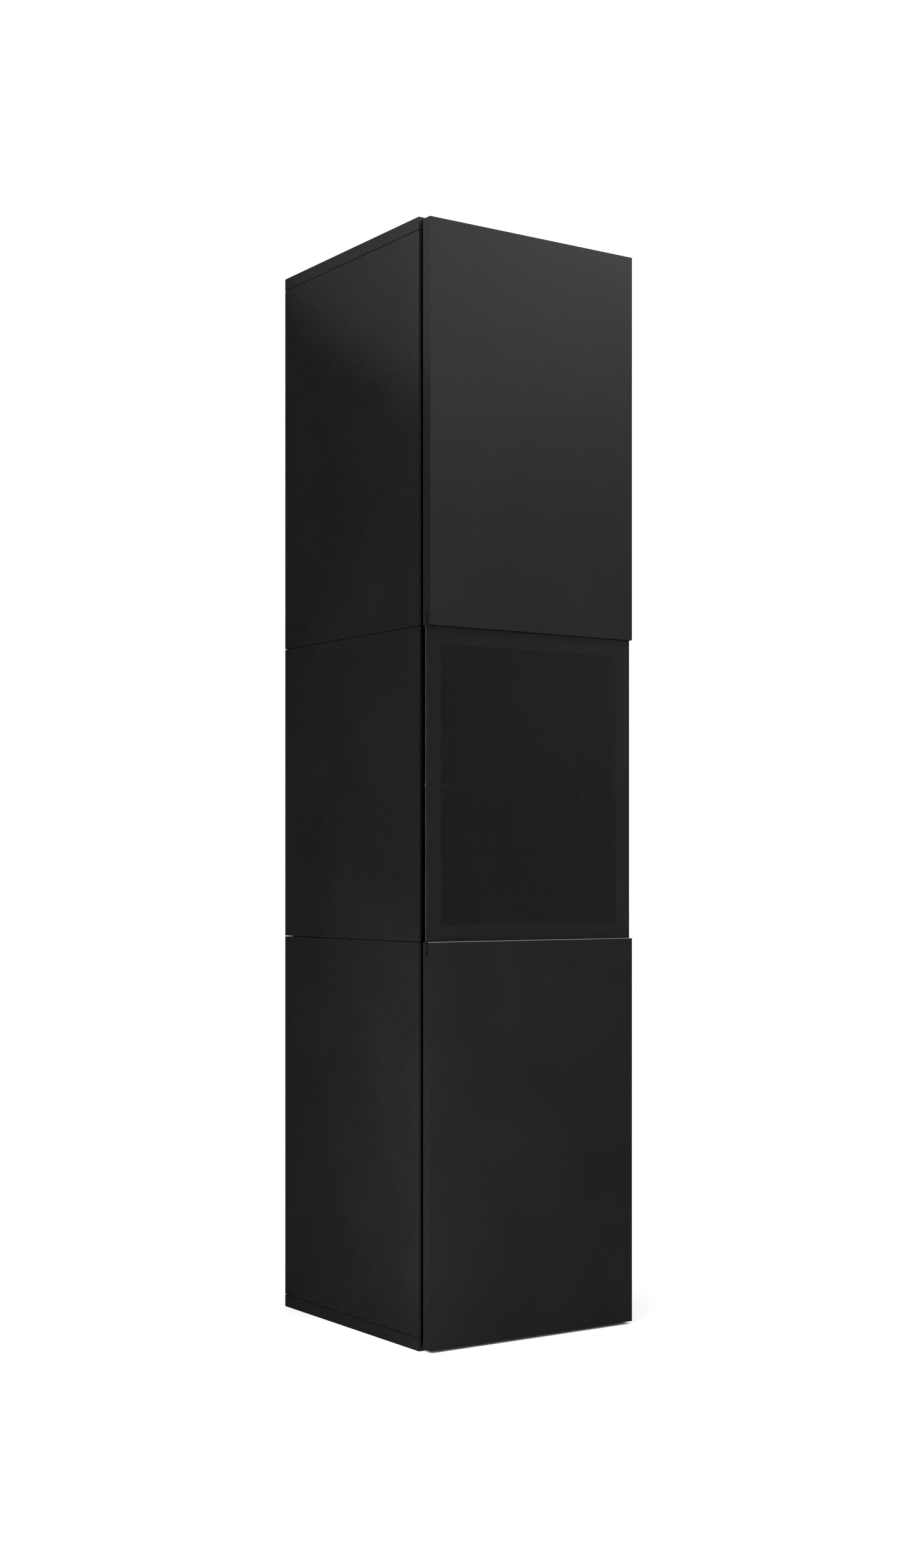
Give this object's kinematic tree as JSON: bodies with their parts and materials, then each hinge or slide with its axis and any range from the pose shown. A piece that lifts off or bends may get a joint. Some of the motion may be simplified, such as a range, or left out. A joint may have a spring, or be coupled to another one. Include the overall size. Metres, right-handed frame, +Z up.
{
  "type": "tall narrow cabinet",
  "caption": "Narrow tall black storage cabinet with one full-height door of matt boards and a smoked glass pane, inner shelves, concealed hinges and push latches.",
  "frame": {"origin": "middle of the width and of the whole depth, on the underside of the bottom board", "axes": "+X to the right seen from the front, +Y from the door to the wall, +Z up"},
  "size_m": [0.37, 0.405, 1.6],
  "materials": {
    "black_melamine": "matt black melamine-faced board, fine texture",
    "back_board": "painted thin fibreboard",
    "smoked_glass": "polished dark smoked glass with a printed border on its back",
    "shelf_glass": "polished grey glass",
    "nickel_steel": "nickel-plated pressed steel",
    "black_plastic": "moulded black plastic"
  },
  "bodies": {
    "case": {"back_panel": "back_board", "bottom_board": "black_melamine", "divider_lower": "black_melamine", "divider_upper": "black_melamine", "glass_shelf": "shelf_glass", "hanger_left": "nickel_steel", "hanger_right": "nickel_steel", "hinge_arm_1": "nickel_steel", "hinge_arm_2": "nickel_steel", "hinge_arm_3": "nickel_steel", "hinge_arm_4": "nickel_steel", "hinge_plate_1": "nickel_steel", "hinge_plate_2": "nickel_steel", "hinge_plate_3": "nickel_steel", "hinge_plate_4": "nickel_steel", "latch_housing_lower": "black_plastic", "latch_housing_upper": "black_plastic", "shelf_lower": "black_melamine", "shelf_pin_glass_left_front": "nickel_steel", "shelf_pin_glass_left_rear": "nickel_steel", "shelf_pin_glass_right_front": "nickel_steel", "shelf_pin_glass_right_rear": "nickel_steel", "shelf_pin_lower_left_front": "nickel_steel", "shelf_pin_lower_left_rear": "nickel_steel", "shelf_pin_lower_right_front": "nickel_steel", "shelf_pin_lower_right_rear": "nickel_steel", "shelf_pin_upper_left_front": "nickel_steel", "shelf_pin_upper_left_rear": "nickel_steel", "shelf_pin_upper_right_front": "nickel_steel", "shelf_pin_upper_right_rear": "nickel_steel", "shelf_upper": "black_melamine", "side_left_lower": "black_melamine", "side_left_middle": "black_melamine", "side_left_upper": "black_melamine", "side_right_lower": "black_melamine", "side_right_middle": "black_melamine", "side_right_upper": "black_melamine", "top_board": "black_melamine"},
    "door": {"door_board_lower": "black_melamine", "door_board_upper": "black_melamine", "door_glass": "smoked_glass", "hinge_cup_1": "nickel_steel", "hinge_cup_2": "nickel_steel", "hinge_cup_3": "nickel_steel", "hinge_cup_4": "nickel_steel", "strike_plate_lower": "nickel_steel", "strike_plate_upper": "nickel_steel"},
    "latch_plunger_lower": {"latch_plunger_lower": "black_plastic"},
    "latch_plunger_upper": {"latch_plunger_upper": "black_plastic"}
  },
  "joints": [
    {"name": "door_hinge", "type": "hinge", "parent": "case", "child": "door", "pos_m": [0.171, -0.193, 0.8], "axis": [0, 0, 1], "range_deg": [0, 100]},
    {"name": "latch_lower_press", "type": "slide", "parent": "case", "child": "latch_plunger_lower", "axis": [0, 1, 0], "range_m": [0, 0.004], "stiffness_N_per_m": 400, "springref_m": -0.003},
    {"name": "latch_upper_press", "type": "slide", "parent": "case", "child": "latch_plunger_upper", "axis": [0, 1, 0], "range_m": [0, 0.004], "stiffness_N_per_m": 400, "springref_m": -0.003}
  ]
}
